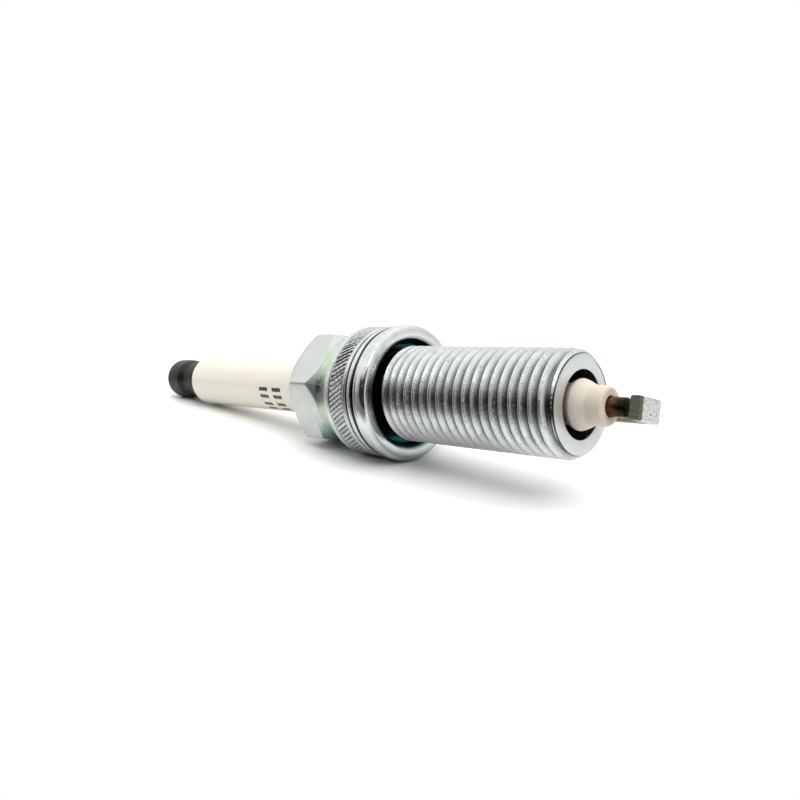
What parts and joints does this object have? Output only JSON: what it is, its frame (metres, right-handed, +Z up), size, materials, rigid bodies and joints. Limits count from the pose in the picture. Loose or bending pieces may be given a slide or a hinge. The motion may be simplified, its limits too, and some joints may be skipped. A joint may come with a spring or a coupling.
{
  "type": "spark plug",
  "caption": "Spark plug with an M12 x 1.25 long-reach thread, 14 mm hexagon, captive gasket, smooth ceramic barrel and removable terminal nut.",
  "frame": {"origin": "on the plug's axis, in the plane of the shell's gasket shoulder, from which the thread's reach is measured", "axes": "+X along the axis towards the firing end, terminal at -X; +Z is up as the plug lies, with the side electrode's leg near +Y"},
  "size_m": [0.0883, 0.0172, 0.0172],
  "materials": {
    "zinc_plated_steel": "bright zinc plating over turned and rolled steel",
    "gasket_steel": "bright zinc plating over folded sheet steel",
    "strap_nickel": "satin nickel alloy, dark at the bend",
    "electrode_nickel": "heat-tinted nickel alloy",
    "copper": "drawn copper",
    "glazed_alumina": "gloss glaze, bare and matt at the nose",
    "packing_steel": "plain steel",
    "talc": "pressed powder",
    "seal_glass": "fused copper and glass",
    "resistor_body": "fused carbon and glass",
    "stud_steel": "plated steel",
    "terminal_steel": "dark, worn plating"
  },
  "bodies": {
    "plug": {"metal_shell": "zinc_plated_steel", "ground_electrode": "strap_nickel", "insulator": "glazed_alumina", "seat_washer": "packing_steel", "lower_wire_ring": "packing_steel", "upper_wire_ring": "packing_steel", "talc_packing": "talc", "centre_electrode": "electrode_nickel", "copper_core": "copper", "lower_glass_seal": "seal_glass", "resistor": "resistor_body", "upper_glass_seal": "seal_glass", "terminal_stud": "stud_steel"},
    "gasket": {"gasket": "gasket_steel"},
    "terminal_nut": {"terminal_nut": "terminal_steel"}
  },
  "joints": [
    {"name": "gasket_float", "type": "slide", "parent": "plug", "child": "gasket", "axis": [1, 0, 0], "range_m": [0, 0.0008]},
    {"name": "terminal_nut_off", "type": "slide", "parent": "plug", "child": "terminal_nut", "axis": [-1, 0, 0], "range_m": [0, 0.0085]}
  ]
}
